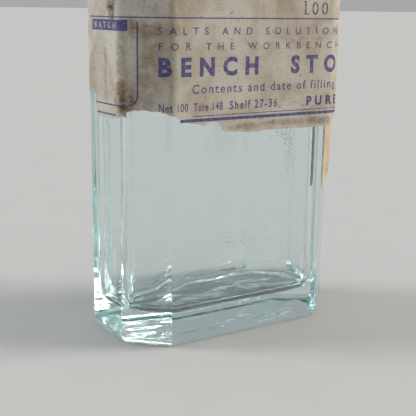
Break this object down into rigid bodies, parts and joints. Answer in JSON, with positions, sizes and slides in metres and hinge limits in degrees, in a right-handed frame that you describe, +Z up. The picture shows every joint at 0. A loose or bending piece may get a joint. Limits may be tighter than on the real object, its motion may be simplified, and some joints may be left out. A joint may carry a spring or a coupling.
{
  "type": "flat glass reagent bottle with screw cap",
  "caption": "Flat chamfered glass reagent bottle with a thick base, torn paper label, ribbed screw cap and cork liner.",
  "frame": {"origin": "middle of the underside of the base", "axes": "+Z up along the neck, -Y out of the wide labelled face, +X to the right along that face"},
  "size_m": [0.0573, 0.0302, 0.13],
  "materials": {
    "glass": "clear, pale aqua tint",
    "phenolic": "moulded black-brown phenolic, worn gloss",
    "cork": "pressed cork",
    "waxed_paper": "waxed",
    "label_paper": "aged, stained, printed",
    "old_paper": "aged, torn"
  },
  "bodies": {
    "bottle": {"bottle_glass": "glass", "label": "label_paper", "old_label_scrap": "old_paper"},
    "liner": {"cork_liner": "cork", "liner_facing": "waxed_paper"},
    "cap": {"screw_cap": "phenolic"}
  },
  "joints": [
    {"name": "cap_lift", "type": "slide", "parent": "bottle", "child": "liner", "axis": [0, 0, 1], "range_m": [0, 0.0127]},
    {"name": "cap_turn", "type": "hinge", "parent": "liner", "child": "cap", "pos_m": [0, 0, 0.126], "axis": [0, 0, 1], "range_deg": [0, 1440]}
  ],
  "couplings": [
    {"joint": "cap_lift", "follows": "cap_turn", "m_per_rad": 0.00050532}
  ]
}
